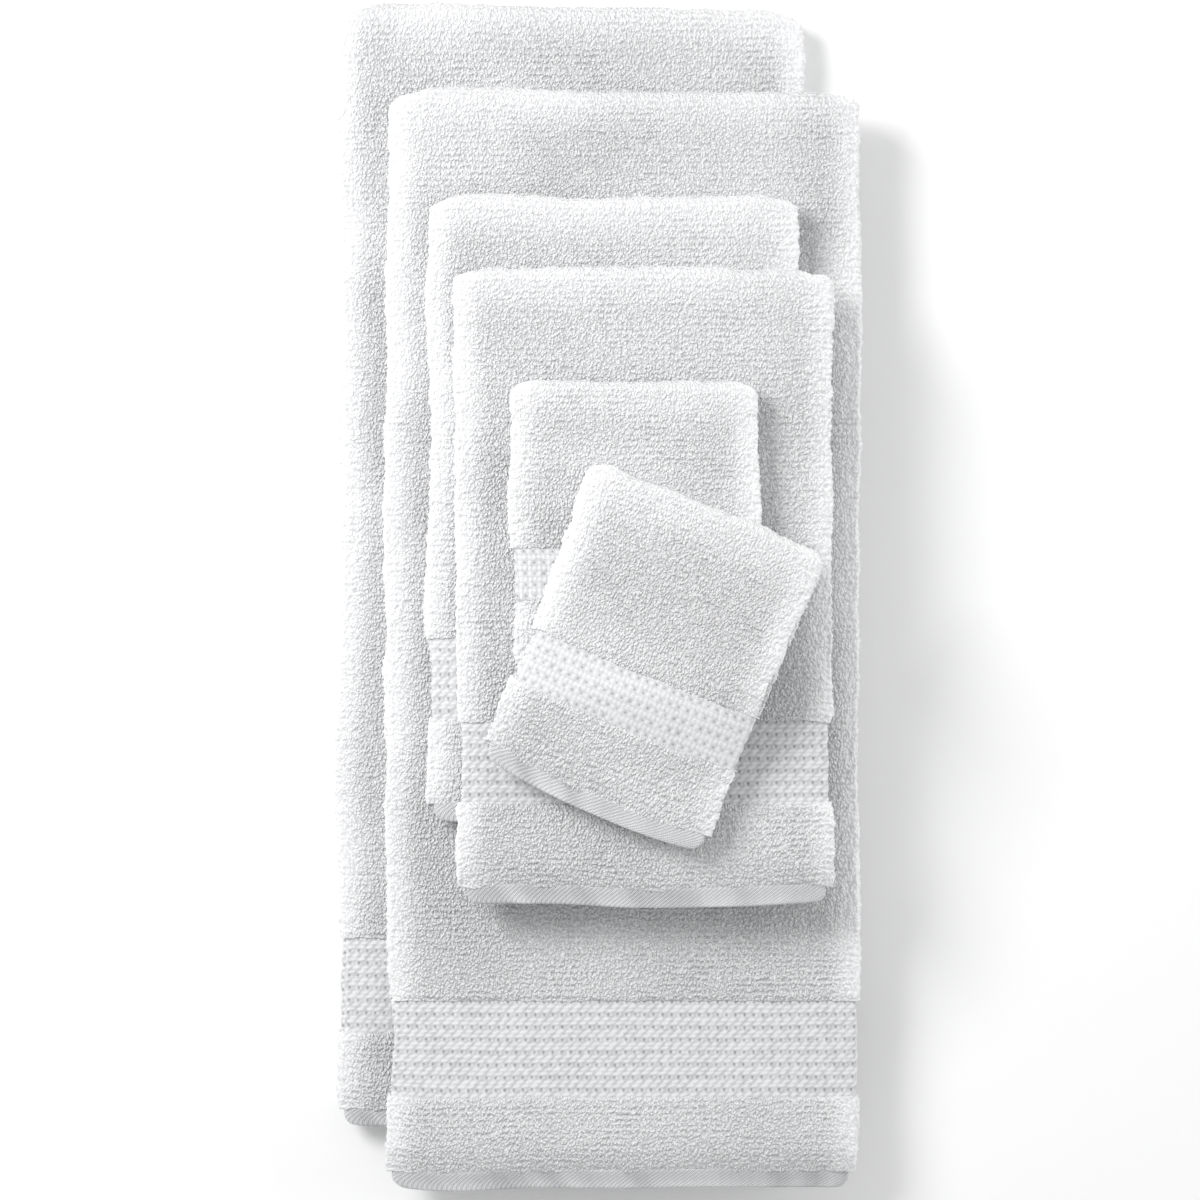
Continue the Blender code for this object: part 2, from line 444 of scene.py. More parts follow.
@dataclass(frozen=True)
class TerryFinish:
    """Bleached cotton loops: bright on top, and painted greyer in the pits between them, as the
    shade that falls there.
    """

    name: str = "bleached_terry"
    top: Triple = (0.93, 0.933, 0.938)
    # pit: painted shade, the grey of the shaded pits between the loops
    pit: Triple = (0.42, 0.43, 0.445)
    loop: Pair = (0.0021, 0.0029)
    second: Pair = (0.0025, 0.0027)
    yarn: Pair = (0.0007, 0.0011)
    row: float = 0.0037
    depth: float = 0.0022

    def make(self) -> Material:
        """The material."""
        loom = Loom(self.name)
        cloth = loom.cloth()
        bent = loom.vector("SUBTRACT", loom.noise(cloth, 0.006).outputs["Color"], (0.5, 0.5, 0.5))
        at = loom.vector("ADD", cloth, loom.vector("MULTIPLY", bent, (0.0016, 0.0018, 0.0)))
        loops = loom.spots(loom.cells(at, self.loop, 0.95), 0.56)
        others = loom.spots(loom.cells(loom.turned(at, 0.35), self.second, 1.0), 0.50)
        loops = loom.sum("MAXIMUM", loops, loom.sum("MULTIPLY", others, 0.85))
        yarn = loom.spots(loom.cells(at, self.yarn, 1.0), 0.8)
        wave = loom.wave(loom.parts(at)[1], self.row)
        patch = loom.noise(cloth, 0.03, 1.0).outputs["Fac"]
        rows = loom.sum("MULTIPLY", wave, loom.sum("SUBTRACT", patch, 0.30))
        height = loom.weighed((rows, 0.46), (loops, 0.78), (yarn, 0.24))
        crisp_and_pit_shade = loom.read(CRISP_AND_PIT_SHADE)
        loom.emboss(height, self.depth, crisp_and_pit_shade)
        # painted shade: the lower the loft and the loops, the nearer the colour comes to the grey
        # of the pits
        shade = loom.weighed((loom.read(LOFT_AND_SHADE), 0.40), (height, 1.25))
        # the weaker the relief and its painted pit shade, the nearer the colour comes to light
        # grey, so the folds are painted lighter
        shade = loom.sum("MULTIPLY_ADD", loom.sum("SUBTRACT", shade, 0.72), crisp_and_pit_shade, 0.93)
        broad = loom.noise(cloth, 0.05, 2.0).outputs["Fac"]
        shade = loom.weighed((broad, 0.16), more=loom.sum("SUBTRACT", shade, 0.08))
        loom.colour(shade, self.pit, self.top)
        loom.soften(0.95, 0.24, 0.12)
        return loom.material


@dataclass(frozen=True)
class DobbyFinish:
    """The flat band: thick soft yarn in nubs, with fine threads across each, and painted shade that
    makes it darker where the nubs lie low and in their pits.
    """

    name: str = "dobby_band"
    top: Triple = (0.87, 0.873, 0.878)
    # pit: painted shade, the grey of the shaded pits and hollows between the nubs
    pit: Triple = (0.30, 0.31, 0.325)
    thread: float = 0.00075
    depth: float = 0.0005

    def make(self) -> Material:
        """The material."""
        loom = Loom(self.name)
        cloth = loom.cloth()
        across, along = loom.parts(cloth)
        slant = loom.sum("SUBTRACT", loom.sum("MULTIPLY", across, 0.55), along)
        fuzz = loom.noise(cloth, 0.0006, 2.0).outputs["Fac"]
        height = loom.weighed((loom.wave(slant, self.thread), 0.16), (fuzz, 0.7))
        loom.emboss(height, self.depth, 0.8)
        # painted shade: the lower the nubs' loft, the nearer the colour comes to the grey of the
        # pits
        shade = loom.weighed((fuzz, 0.35), (loom.read(LOFT_AND_SHADE), 1.2))
        loom.colour(loom.sum("SUBTRACT", shade, 0.25), self.pit, self.top)
        loom.soften(0.85, 0.12, 0.10)
        return loom.material


@dataclass(frozen=True)
class HemFinish:
    """The turned hem: a close plain weave with slanting ribs, with painted shade that makes it
    darker where its threads and puckers lie low.
    """

    name: str = "turned_hem"
    top: Triple = (0.90, 0.903, 0.908)
    # pit: painted shade, the grey of the shaded hollows between threads and puckers
    pit: Triple = (0.38, 0.39, 0.405)
    rib: float = 0.0019
    weave: float = 0.00125
    depth: float = 0.0007

    def make(self) -> Material:
        """The material."""
        loom = Loom(self.name)
        cloth = loom.cloth()
        across, along = loom.parts(cloth)
        ribs = loom.wave(loom.weighed((across, 0.6), (along, -0.8)), self.rib)
        warp, weft = loom.wave(across, self.weave), loom.wave(along, self.weave)
        fuzz = loom.noise(cloth, 0.0008, 2.0).outputs["Fac"]
        plain = loom.sum("MULTIPLY", warp, weft)
        height = loom.weighed((plain, 0.26), (ribs, 0.20), (fuzz, 0.4))
        loom.emboss(height, self.depth)
        # painted shade: the lower the weave and the puckers, the nearer the colour comes to the
        # grey of the hollows
        shade = loom.weighed((height, 0.8), (loom.read(LOFT_AND_SHADE), 0.4))
        loom.colour(loom.sum("ADD", shade, 0.20), self.pit, self.top)
        loom.soften(0.88, 0.12, 0.10)
        return loom.material


@dataclass(frozen=True)
class FloorFinish:
    """A seamless pale floor."""

    name: str = "pale_floor"
    colour: Triple = (0.95, 0.95, 0.95)
    glow: float = 0.03  # as on a light table, so that it stays white beside the cloth

    def make(self) -> Material:
        """The material."""
        loom = Loom(self.name)
        at = loom.add("ShaderNodeTexCoord").outputs["Object"]
        mottle = loom.noise(at, 0.12, 3.0).outputs["Fac"]
        darker = tuple(0.985 * part for part in self.colour)
        loom.colour(mottle, darker, self.colour)
        loom.set({"Roughness": 0.9, "Specular IOR Level": 0.1})
        loom.set({"Emission Color": (1.0, 1.0, 1.0, 1.0), "Emission Strength": self.glow})
        return loom.material


# ---- the cloth as a mesh


@dataclass(frozen=True)
class Selvage:
    """How the cloth of a zone ends where the zone meets the next one."""

    depth: float  # how far back from the end it starts to round off
    overhang: float = 0.0  # how far its loops flop over the end
    foot: float = 0.1  # height of the outer face at the very end, as a share of the cloth
    both: bool = False  # rounded from the inner face too
    steps: int = 5

    def points(self) -> list[tuple[float, ...]]:
        """The rounding, from where it starts to the end of the zone.

        Returns:
            For each step how far past the end the outer face is, how far the inner face is,
            and where each is between the middle of the cloth, 0, and its face, 1.
        """
        found = []
        for k in range(self.steps + 1):
            a = math.pi / 2 * k / self.steps
            reach = -self.depth + (self.depth + self.overhang) * math.sin(a)
            high = self.foot + (1.0 - self.foot) * math.cos(a)
            if self.both:
                found.append((reach, reach, high, high))
            else:
                found.append((reach, min(reach, 0.0), 2.0 * high - 1.0, 1.0))
        return found


@dataclass
class ClothMesh:
    """A closed cloth between an outer and an inner face over one grid of rows and columns.

    Only the blocks of the grid that show are made in full. The others are one face each,
    which takes in the points of a full block beside it, so that the cloth stays closed.
    """

    outer: Grid
    inner: Grid
    places: Grid
    marks: dict[str, Grid]  # further numbers at each point
    rows: list[int]
    columns: list[int]
    shown: Grid

    def outline(self, a: int, b: int, shown: Grid) -> list[int]:
        """The points round one block that is a single face.

        Args:
            a: The block's row.
            b: The block's column.
            shown: Which blocks of this face of the cloth are made in full.

        Returns:
            The points' numbers in the grid, in order.
        """
        (r0, r1), (c0, c1) = self.rows[a : a + 2], self.columns[b : b + 2]
        width = self.outer.shape[1]
        near = [r0 * width + c for c in range(c0, c1)]
        right = [r * width + c1 for r in range(r0, r1)]
        far = [r1 * width + c for c in range(c1, c0, -1)]
        left = [r * width + c0 for r in range(r1, r0, -1)]
        full = np.pad(shown, 1, constant_values=True)  # as are those past the cloth's edge
        beside = (full[a, b + 1], full[a + 1, b + 2], full[a + 2, b + 1], full[a + 1, b])
        found = []
        for side, whole in zip((near, right, far, left), beside):
            found += side if whole else side[:1]
        return found

    def face(self, shown: Grid) -> tuple[Grid, list[list[int]]]:
        """One face of the cloth.

        Args:
            shown: Which blocks are made in full.

        Returns:
            The four-sided faces of the full blocks, and the outlines of the others.
        """
        height, width = self.outer.shape[:2]
        full = np.zeros((height - 1, width - 1), bool)
        for a, b in np.argwhere(shown):
            rows = slice(self.rows[a], self.rows[a + 1])
            full[rows, self.columns[b] : self.columns[b + 1]] = True
        r, c = np.nonzero(full)
        first = r * width + c
        quads = np.stack([first, first + 1, first + width + 1, first + width], axis=1)
        return quads, [self.outline(a, b, shown) for a, b in np.argwhere(~shown)]

    def rims(self) -> Grid:
        """The narrow faces all round that join the outer face to the inner one."""
        height, width = self.outer.shape[:2]
        deep = height * width
        c, r = np.arange(width - 1), np.arange(height - 1)
        last = (height - 1) * width
        edges = [
            (c + 1, c),
            (last + c, last + c + 1),
            (r * width, (r + 1) * width),
            ((r + 1) * width + width - 1, r * width + width - 1),
        ]
        return np.concatenate([np.stack([a, b, b + deep, a + deep], axis=1) for a, b in edges])

    def make(self, name: str) -> Piece:
        """Make the cloth.

        Args:
            name: The new object's name.

        Returns:
            The object, linked to the scene.
        """
        deep = self.outer.shape[0] * self.outer.shape[1]
        quads, blocks = self.face(self.shown)
        inner_quads, inner_blocks = self.face(np.zeros_like(self.shown))
        fours = np.concatenate([quads, inner_quads[:, ::-1] + deep, self.rims()])
        blocks = blocks + [[point + deep for point in ring[::-1]] for ring in inner_blocks]
        corners = np.concatenate([fours.ravel(), *(np.array(ring) for ring in blocks)])
        counts = np.concatenate([np.full(len(fours), 4), [len(ring) for ring in blocks]])
        starts = np.concatenate([[0], np.cumsum(counts)[:-1]]).astype(np.int32)
        used, corners = np.unique(corners, return_inverse=True)
        spots = np.concatenate([self.outer.reshape(-1, 3), self.inner.reshape(-1, 3)])[used]
        places = np.concatenate([self.places.reshape(-1, 2)] * 2)[used]
        mesh = bpy.data.meshes.new(name)
        mesh.vertices.add(len(used))
        mesh.vertices.foreach_set("co", spots.ravel().astype(np.float32))
        mesh.loops.add(len(corners))
        mesh.loops.foreach_set("vertex_index", corners.ravel().astype(np.int32))
        mesh.polygons.add(len(starts))
        mesh.polygons.foreach_set("loop_start", starts)
        mesh.update(calc_edges=True)
        mesh.validate()
        layer = mesh.uv_layers.new(name=CLOTH_MAP)
        layer.uv.foreach_set("vector", places[corners.ravel()].ravel().astype(np.float32))
        for mark, values in self.marks.items():
            kept = np.concatenate([values.ravel()] * 2)[used].astype(np.float32)
            mesh.attributes.new(mark, "FLOAT", "POINT").data.foreach_set("value", kept)
        mesh.shade_smooth()
        piece = bpy.data.objects.new(name, mesh)
        bpy.context.scene.collection.objects.link(piece)
        return piece


LIP = Selvage(depth=0.0026, overhang=0.0014, foot=0.30)
FLOP = Selvage(depth=0.0030, overhang=0.0020, foot=0.30)
FLAT = Selvage(depth=0.0006, foot=0.75, steps=2)
ROLL = Selvage(depth=0.0013, foot=0.15, both=True)
CUT = Selvage(depth=0.0004, foot=0.9, steps=1)


# ---- kinds of towel


@dataclass(frozen=True)
class TowelKind:
    """How one kind of towel is cut and woven."""

    flat: Pair  # width and length of the cloth laid flat
    pile: float  # thickness of the looped cloth
    flap: float  # thickness of a folded-in side, pressed between the leaves
    hem: float  # thickness of the turned hem
    hem_flap: float  # thickness of the hem of a folded-in side
    step: float  # spacing of the points where the pile shows
    band_step: float  # spacing of the points where the band shows
    corner: float  # radius of the corners at the fold
    crown: float  # how far the panel slopes down to its side folds
    nubs: NubRelief
    band: float = 0.0018  # thickness of the dobby band
    meets: bool = False  # the folded-in sides only meet, and don't overlap
    lump: float = 0.0008  # how much the pile rises and falls


BATH = TowelKind(
    flat=(0.762, 1.372),
    pile=0.0040,
    flap=0.0038,
    hem=0.0026,
    hem_flap=0.0021,
    step=0.00125,
    band_step=0.00065,
    corner=0.013,
    crown=0.0023,
    nubs=NubRelief(501, cell=(0.00565, 0.0076)),
)
HAND = TowelKind(
    flat=(0.445, 0.762),
    pile=0.0044,
    flap=0.0040,
    hem=0.0028,
    hem_flap=0.0026,
    meets=True,
    step=0.0011,
    band_step=0.00060,
    corner=0.012,
    crown=0.0019,
    nubs=NubRelief(541, cell=(0.00565, 0.0073)),
)
WASH = TowelKind(
    flat=(0.330, 0.362),
    pile=0.0040,
    flap=0.0021,
    hem=0.0020,
    hem_flap=0.0014,
    step=0.0010,
    band_step=0.00055,
    corner=0.010,
    crown=0.0015,
    nubs=NubRelief(
        577,
        cell=(0.0058, 0.0064),
        nubs=(2, 2),
        lean=0.0,
        round=0.85,
        pit=0.0008,
        depth=0.0009,
    ),
    lump=0.0013,
)


@dataclass
class Columns:
    """The points across the cloth: which run each is in, and how far along the run."""

    run: Grid
    share: Grid
    u: Grid
    edge: Grid  # how much of the cloth's thickness is left at its long edges
    breaks: list[int]


@dataclass
class Rows:
    """The points along the cloth, and the section that each row of them has."""

    v: Grid
    slip: Grid  # how far the outer face is past the row, along the cloth
    outer: Grid  # the outer face's place, between the cloth's middle and its face
    inner: Grid
    breaks: list[int]


@dataclass
class Levels:
    """For each row, the heights of a leaf's layers and how wide the leaf is."""

    width: Grid
    panel: Grid  # middle of the outer layer
    thick: Grid
    low: Grid  # middle of the folded-in side that lies inmost
    raised: Grid  # middle of the side that lies over the other one
    flap: Grid
    drop: Grid  # how far the outer layer has come down where the side folds begin
    settle: Grid  # how far this part of both leaves has sunk


@dataclass(frozen=True)
class Weave:
    """How one woven zone is made."""

    zone: Zone
    step: float  # spacing of its points where it shows
    ends: tuple[Selvage, Selvage]  # at its start and its end on the front leaf
    relief: Weaving
    slot: str  # the record's slot for its material


@dataclass
class Patch:
    """One woven zone of a towel over its grid of rows and columns."""

    weave: Weave
    columns: Columns
    rows: Rows
    levels: Levels

    def __post_init__(self) -> None:
        """Spread the rows' and columns' numbers over the grid."""
        self.run = self.columns.run[None, :]
        self.share = self.columns.share[None, :]
        self.u = self.columns.u[None, :] * np.ones((len(self.rows.v), 1))
        self.v = self.rows.v[:, None] * np.ones_like(self.u)
        self.looped = self.weave.zone in (Zone.PILE, Zone.END_TERRY)

    def on(self, *runs: Run) -> Grid:
        """Which columns are in any of some runs."""
        return np.isin(self.run, [run.value for run in runs])


@dataclass
class FoldedTowel:
    """One towel of the stack."""

    name: str
    kind: TowelKind
    seed: int
    under: "FoldedTowel | None" = None
    sag: float = 0.0  # how far its near end hangs below the top of the towel under it
    reach: float = 0.0  # how far past that towel's near edge it has come down by so much
    white: float = 0.0  # how much lighter than the bath towels its cloth is coloured
    crest: float = 0.0  # how far its fold bulges out
    bow: float = 0.0  # how far the middle of its near end runs out past the corners
    above: list["FoldedTowel"] = field(default_factory=list)
    pieces: list[Piece] = field(default_factory=list)

    def __post_init__(self) -> None:
        """Read where the towel lies, and how large it is, from the frame."""
        self.opens = f"{self.name}_front_leaf" in frame["bodies"]
        self.turn = self.angle()
        nodes = [name for name in frame["nodes"] if name.startswith(self.name + "_")]
        piles = [name for name in nodes if "pile" in name]
        pile = np.concatenate([self.points(name) for name in piles])
        side = self.turned(pile[:, :2])
        near = self.turned(self.points(f"{self.name}_front_hem")[:, :2])[:, 1].min()
        low, high = side.min(axis=0), side.max(axis=0)
        self.width = float(high[0] - low[0])
        self.length = float(high[1] - near)
        self.middle = np.array([(low[0] + high[0]) / 2, (high[1] + near) / 2])
        self.base = self.under.top + CLEARANCE if self.under else float(pile[:, 2].min())
        self.top = float(pile[:, 2].max())
        self.leaf = (self.top - self.base - CLEARANCE) / 2
        self.near = -self.length / 2
        self.bend = self.length / 2 - self.leaf - CLEARANCE / 2  # where the fold begins
        self.radius = 0.8 * self.leaf  # of the fold, where the cloth keeps its length
        self.straight = self.bend - self.near
        self.whole = 2 * self.straight + math.pi * self.radius

    def angle(self) -> float:
        """How far the towel is turned about Z, from the hinge that its front leaf opens on."""
        if not self.opens:
            return 0.0
        joint = next(j for j in frame["joints"] if j["name"] == f"{self.name}_unfold")
        return math.atan2(-joint["axis"][1], -joint["axis"][0])

    @staticmethod
    def points(node: str) -> Grid:
        """The points of a CAD node at rest."""
        vertices = frame["nodes"][node].data.vertices
        found = np.empty(len(vertices) * 3, np.float32)
        vertices.foreach_get("co", found)
        return found.reshape(-1, 3).astype(float)

    def turned(self, places: Grid) -> Grid:
        """Places on the stack's plan, seen along the towel."""
        return rotated(places, -self.turn)

    def local(self, places: Grid) -> Grid:
        """Places on the stack's plan, measured from the middle of the towel."""
        return self.turned(places) - self.middle

    def stacked(self, places: Grid) -> Grid:
        """Points measured from the middle of the towel, put where they lie in the stack."""
        plan = rotated(places[..., :2] + self.middle, self.turn)
        return np.concatenate([plan, places[..., 2:] + self.base], axis=-1)

    def draped(self, places: Grid) -> Grid:
        """Points of the stack hung down past the near edge of the towel below."""
        found = places.copy()
        if self.sag:
            edge = self.under.middle[1] + self.under.near
            found[..., 2] -= self.sag * eased((edge - places[..., 1]) / self.reach)
        return found

    def covers(self, places: Grid) -> Grid:
        """How far places on the stack's plan are inside this towel's outline, in metres."""
        at = self.local(places)
        across = self.width / 2 - np.abs(at[..., 0])
        along = self.length / 2 - np.abs(at[..., 1])
        return np.minimum(across, along)

    def columns(self, step: float) -> Columns:
        """The points across the cloth.

        Args:
            step: Their spacing where the cloth shows.

        Returns:
            The points, with the columns where blocks begin.
        """
        kind = self.kind
        low = kind.flap / 2 + CLEARANCE
        side = (self.leaf - kind.pile / 2 - kind.crown - low) / 2
        straight = self.width - (kind.pile + kind.flap) / 2 - 2 * side
        flap = (kind.flat[0] - straight - 2 * math.pi * side) / 2
        loose = step * 1.3 if self.opens else 0.006
        flat = np.linspace(0.0, 1.0, max(4, round(flap / loose)) + 1)
        rounded = np.array([0.0, 0.0004, 0.0011, EDGE_ROUND]) / flap
        flat = np.concatenate([rounded, flat[flat > 0.0035 / flap]])
        fold = np.linspace(0.0, 1.0, max(8, round(math.pi * side / step)) + 1)
        top = np.linspace(0.0, 1.0, round(straight / step) + 1)
        shares = (flat, fold, top, fold, 1.0 - flat[::-1])
        lengths = (flap, math.pi * side, straight, math.pi * side, flap)
        wide = 6 if self.opens else 1
        found, breaks, start = [], [0], 0.0
        for run, length, share, many in zip(Run, lengths, shares, (wide, 3, BLOCK, 3, wide)):
            kept = share if run is Run.RIGHT_FLAP else share[:-1]
            rim = {Run.LEFT_FLAP: kept, Run.RIGHT_FLAP: 1.0 - kept}.get(run, np.ones(len(kept)))
            inward = np.clip(rim * length / EDGE_ROUND, 0.0, 1.0)
            edge = np.clip(np.sqrt(1.0 - (1.0 - inward) ** 2), 0.12, 1.0)
            found.append([np.full(len(kept), run.value), kept, start + kept * length, edge])
            first, last = breaks[-1], breaks[-1] + len(kept)
            breaks += [*range(first + many, last, many), last]
            start += length
        breaks[-1] -= 1
        return Columns(*np.concatenate(found, axis=1), sorted(set(breaks)))

    def rows(self, start: float, end: float, step: float, ends: tuple[Selvage, Selvage]) -> Rows:
        """The points along the cloth of one zone.

        Args:
            start: Where the zone starts, along the cloth.
            end: Where it ends.
            step: The spacing of the rows between.
            ends: How the cloth ends at each.

        Returns:
            The rows, with those where blocks begin.
        """
        first, last = ends[0].points(), ends[1].points()
        low, high = start + ends[0].depth, end - ends[1].depth
        count = max(2, round((high - low) / step))
        points = [(start - b, b - a, outer, inner) for a, b, outer, inner in reversed(first)]
        points += [(v, 0.0, 1.0, 1.0) for v in np.linspace(low, high, count + 1)[1:-1]]
        points += [(end + b, a - b, outer, inner) for a, b, outer, inner in last]
        v, slip, outer, inner = np.array(points).T
        breaks = [0, len(first) - 1]
        for mark in (self.straight, self.whole - self.straight, high):
            stop = int(np.searchsorted(v[: len(v) - len(last) + 1], mark))
            if stop > breaks[-1]:
                breaks += [*range(breaks[-1] + BLOCK, stop, BLOCK), stop]
        return Rows(v, slip, outer, inner, sorted(set(breaks) | {len(v) - 1}))

    def span(self, leaf: Leaf, zone: Zone) -> Triple:
        """Where a zone of a leaf is, from its CAD node.

        Returns:
            Where it starts and ends along the cloth, and its width.
        """
        at = self.local(self.points(f"{self.name}_{leaf.value}_{zone.value}")[:, :2])
        near, far = at[:, 1].min() - self.near, at[:, 1].max() - self.near
        width = float(at[:, 0].max() - at[:, 0].min())
        if leaf is Leaf.FRONT:
            return float(near), float(far), width
        return float(self.whole - far), float(self.whole - near), width

    def flaps(self, thick: float) -> Pair:
        """The heights of the two folded-in sides, from how thick they are."""
        low = thick / 2 + CLEARANCE
        return low, low if self.kind.meets else low + thick + FLAP_GAP

    def turn_at(self, v: Grid) -> Grid:
        """How far the cloth has turned round the far fold."""
        return np.clip((v - self.straight) / self.radius, 0.0, math.pi)

    def levels(self, zone: Zone, v: Grid, width: float) -> Levels:
        """The layers of a leaf at each row of a zone.

        Args:
            zone: The woven zone.
            v: Places along the cloth.
            width: The zone's width.

        Returns:
            The heights, thicknesses and widths.
        """
        kind = self.kind
        past = np.minimum(v, self.whole - v)  # from the nearer end of the cloth
        hem_end = self.span(Leaf.FRONT, Zone.HEM)[1]
        ones = np.ones(len(v))
        top, thick, flap = self.leaf * ones, kind.pile, kind.flap
        if zone is Zone.DOBBY_BAND:
            thick, flap = kind.band, min(kind.band, kind.flap)
            top = (self.leaf - kind.pile + kind.band) * ones
        if zone is Zone.END_TERRY:
            top = top - TERRY_DIP * eased(1.0 - (past - hem_end) / (10 * TERRY_DIP))
        low, raised = (height * ones for height in self.flaps(flap))
        turn = self.turn_at(v)
        plan = np.where(turn > 0, self.bend + np.sin(turn) * self.leaf, self.near + past)
        into = np.clip(plan - (self.length / 2 - kind.corner), 0.0, kind.corner)
        widths = width - 2 * (kind.corner - np.sqrt(kind.corner**2 - into**2))
        drop = kind.crown * ones
        if zone is Zone.HEM:
            thick, flap = kind.hem, kind.hem_flap
            pressed = eased((hem_end - past) / (0.75 * hem_end))
            top = (self.leaf - HEM_TOP) * (1 - pressed) + HEM_END * self.leaf * pressed
            end_low, end_raised = self.flaps(flap)
            low = low * (1 - pressed) + end_low * pressed
            raised = raised * (1 - pressed) + end_raised * pressed
            short = np.clip(HEM_CORNER - past, 0.0, HEM_CORNER)
            widths = widths - 1.8 * (HEM_CORNER - np.sqrt(HEM_CORNER**2 - short**2))
            drop = kind.crown * (1.0 - 0.7 * pressed)
        settle = END_SETTLE * eased(1.0 - past / (hem_end + 0.012))
        thick, flap = thick * ones, flap * ones
        return Levels(widths, top - thick / 2, thick, low, raised, flap, drop, settle)

    def section(self, patch: Patch) -> tuple[Grid, ...]:
        """The middle of the cloth across a leaf, for every row.

        Args:
            patch: The zone.

        Returns:
            Five grids: x, the height over the plane between the leaves, the direction
            outwards as x and height, and the cloth's thickness.
        """
        run, share = patch.run, patch.share
        grid = {name: value[:, None] for name, value in vars(patch.levels).items()}
        thick, low, panel, drop = (grid[name] for name in ("thick", "low", "panel", "drop"))
        side = (panel - drop - low) / 2
        centre = (panel - drop + low) / 2
        foot = grid["width"] / 2 - (thick + grid["flap"]) / 4 - side
        flap = (self.kind.flat[0] - 2 * foot - 2 * math.pi * side) / 2
        over = -foot + flap * (1 - share)  # x along the left side, which lies over the right
        lift = eased((over - (foot - flap) + 0.010) / 0.012)
        raised = low + (grid["raised"] - low) * lift
        angle = math.pi * (share - 0.5)
        sin, cos = np.sin(angle), np.cos(angle)
        blend = grid["flap"] + (thick - grid["flap"]) * share
        back = thick + (grid["flap"] - thick) * share
        left = -foot - side * cos
        top = foot * (2 * share - 1)
        sloping = np.clip(1.0 - (foot - np.abs(top)) / (8.0 * drop), 0.0, 1.0)
        crowned = panel - drop * sloping**2
        one = np.ones_like(patch.u)
        cases = [run == part.value for part in Run]

        def pick(*values: Grid | float) -> Grid:
            """The value of each point's own run."""
            return np.select(cases, [value * one for value in values])

        return (
            pick(over, left, top, -left, foot - flap * share),
            pick(raised, centre + side * sin, crowned, centre - side * sin, low),
            pick(0.0, -cos, 0.0, cos, 0.0),
            pick(-1.0, sin, 1.0, -sin, -1.0),
            pick(grid["flap"], blend, thick, back, grid["flap"]),
        )

    def seated(self, patch: Patch, x: Grid, height: Grid, slip: Grid) -> Grid:
        """Points of a leaf's section put on the way that the leaf takes round the fold.

        Args:
            patch: The zone.
            x: Places across.
            height: Heights over the plane between the leaves.
            slip: How far each point is past its row, along the cloth.

        Returns:
            The points, in the stack.
        """
        v = patch.rows.v
        turn = self.turn_at(v)
        on_back = v > self.whole - self.straight
        y = np.where(on_back, self.near + self.whole - v, np.minimum(self.near + v, self.bend))
        sin, cos = np.sin(turn)[:, None], np.cos(turn)[:, None]
        away = height + CLEARANCE / 2
        y = y[:, None] + sin * away + cos * slip
        z = self.leaf + CLEARANCE / 2 + cos * away - sin * slip - patch.levels.settle[:, None]
        x, y = self.loosened(x, y, v[:, None] + slip, cos)
        return self.eased_down(self.draped(self.stacked(np.stack([x, y, z], axis=-1))))

    def loosened(self, x: Grid, y: Grid, v: Grid, facing: Grid) -> tuple[Grid, Grid]:
        """Move points of the towel a little, as folding by hand leaves them.

        Args:
            x: Places across.
            y: Places along.
            v: Places along the cloth.
            facing: 1 on the front leaf to -1 on the back leaf.

        Returns:
            The new places across and along.
        """
        seed, still = self.seed, np.zeros_like(v)
        left, right = (
            sum(
                depth * wander(v, still + side, size, seed + 41 + 2 * k + side)
                for k, (size, depth) in enumerate(SIDE_WAVES)
            )
            for side in (0, 1)
        )
        share = x / self.width + 0.5
        moved = x + left * (1 - share) + right * share
        at_near = eased(1.0 - (y - self.near) / 0.09)
        at_far = eased(1.0 - (self.length / 2 - y) / 0.06)
        wave = wander(x, still, 0.055, seed + 47) * 0.0017
        uneven = wander(x, still, 0.08, seed + 53) * 0.0012 - 0.0004
        tail = wander(x, still, 0.10, seed + 59) * 0.0018
        tail = tail + wander(x, still, 0.007, seed + 60) * 0.0007
        tail = tail + self.crest * (1.0 - 1.1 * np.square(x / self.width + 0.25))
        aside = 2 * x / self.width
        belly = self.bow * (1.0 - np.square(aside) + 0.24 * (1.0 + aside))
        belly = belly * eased(1.0 - (y - self.near) / (0.55 * self.length))
        return moved, y + at_near * (wave + uneven * facing) + at_far * tail - belly

    def eased_down(self, places: Grid) -> Grid:
        """The slight unevenness of the whole stack, more so towards its top."""
        found = places.copy()
        found[..., 2] *= 1.0 + 0.010 * wander(places[..., 0] + 1.0, places[..., 1] + 1.0, 0.11, 907)
        return found

    def exposure(self, patch: Patch, plan: Grid) -> Grid:
        """How much the outer face shows, from 0 to 1, at each point of the grid.

        Args:
            patch: The zone.
            plan: Where each point is, seen from above.

        Returns:
            The grid of shares.
        """
        turn = self.turn_at(patch.rows.v)[:, None]
        under = eased((turn / math.pi - 0.75) / 0.2)
        hidden = np.zeros(plan.shape[:2])
        for towel in self.above:
            hidden = np.maximum(hidden, eased((towel.covers(plan) - 0.008) / 0.008))
        panel = (1 - under) * (1 - hidden * (turn < 0.1))
        inward = np.where(patch.on(Run.LEFT_FOLD), patch.share, 1 - patch.share)
        fold = eased(inward / 0.12) * (1 - under * eased((inward - 0.8) / 0.2))
        opened = 0.7 if self.opens else 0.0
        fold = np.maximum(fold * np.ones_like(panel), opened)
        flap = opened * patch.columns.edge[None, :]
        side = np.where(patch.on(Run.LEFT_FOLD, Run.RIGHT_FOLD), fold, flap)
        return np.where(patch.on(Run.PANEL), panel, side)

